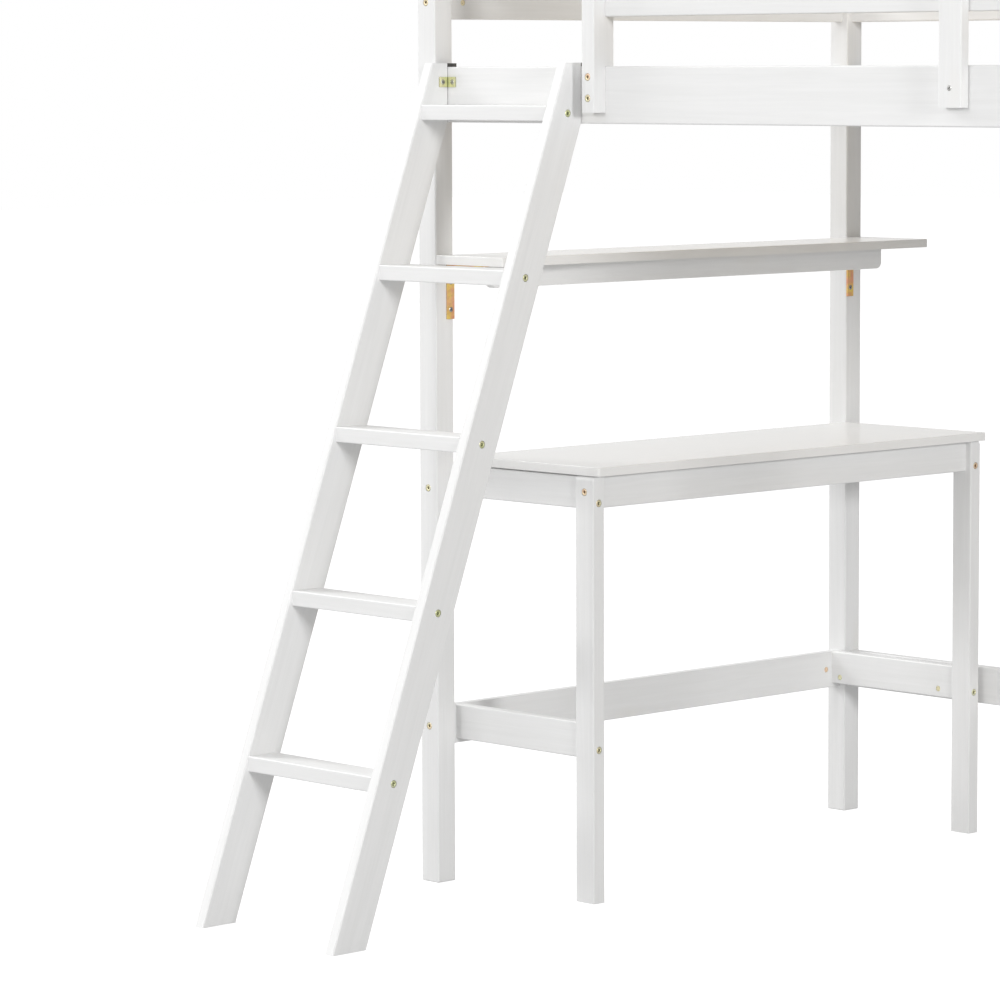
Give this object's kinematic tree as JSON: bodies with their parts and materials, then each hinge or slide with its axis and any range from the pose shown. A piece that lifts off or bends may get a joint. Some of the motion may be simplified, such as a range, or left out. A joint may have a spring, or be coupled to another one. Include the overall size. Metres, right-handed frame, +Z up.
{
  "type": "loft bed with desk",
  "caption": "White painted wooden loft bed with a slanted ladder, guard boards, slats, and a desk with a shelf across one end underneath.",
  "frame": {"origin": "on the floor, at the middle of the rectangle that the bed and its ladder cover", "axes": "+X along the bed away from the desk end, +Y from the ladder side towards the wall, +Z up"},
  "size_m": [1.98, 1.6104, 1.69],
  "materials": {
    "painted_pine": "satin white paint over pine",
    "bare_pine": "bare planed pine",
    "white_panel": "smooth satin white coating on fibreboard",
    "yellow_zinc": "yellow zinc plating",
    "screw_steel": "bright zinc plating",
    "dark_steel": "black powder coat"
  },
  "bodies": {
    "root": {"barrel_nuts": "yellow_zinc", "cleat_back": "bare_pine", "cleat_front": "bare_pine", "connector_bolts": "yellow_zinc", "desk_apron_back": "painted_pine", "desk_apron_front": "painted_pine", "desk_apron_long": "painted_pine", "desk_apron_wall": "painted_pine", "desk_leg_back": "painted_pine", "desk_leg_front": "painted_pine", "desk_side_rail_back": "painted_pine", "desk_side_rail_front": "painted_pine", "desk_top": "white_panel", "end_left_board_low": "painted_pine", "end_left_guard_lower": "painted_pine", "end_left_guard_upper": "painted_pine", "end_left_rail": "painted_pine", "end_right_board_low": "painted_pine", "end_right_guard_lower": "painted_pine", "end_right_guard_upper": "painted_pine", "end_right_rail": "painted_pine", "guard_back_lower": "painted_pine", "guard_back_upper": "painted_pine", "guard_front_lower": "painted_pine", "guard_front_upper": "painted_pine", "ladder_braces": "yellow_zinc", "ladder_hooks": "dark_steel", "ladder_rung_1": "painted_pine", "ladder_rung_2": "painted_pine", "ladder_rung_3": "painted_pine", "ladder_rung_4": "painted_pine", "ladder_rung_5": "painted_pine", "ladder_stringer_left": "painted_pine", "ladder_stringer_right": "painted_pine", "post_back_left": "painted_pine", "post_back_right": "painted_pine", "post_front_left": "painted_pine", "post_front_right": "painted_pine", "rail_back": "painted_pine", "rail_back_low": "painted_pine", "rail_front": "painted_pine", "rung_bolts": "yellow_zinc", "shelf_board": "white_panel", "shelf_brackets": "yellow_zinc", "shelf_stiffener": "painted_pine", "slat_01": "bare_pine", "slat_02": "bare_pine", "slat_03": "bare_pine", "slat_04": "bare_pine", "slat_05": "bare_pine", "slat_06": "bare_pine", "slat_07": "bare_pine", "slat_08": "bare_pine", "slat_09": "bare_pine", "slat_10": "bare_pine", "slat_11": "bare_pine", "slat_12": "bare_pine", "stile_ladder": "painted_pine", "stile_middle": "painted_pine", "wood_screws": "screw_steel"}
  },
  "joints": []
}
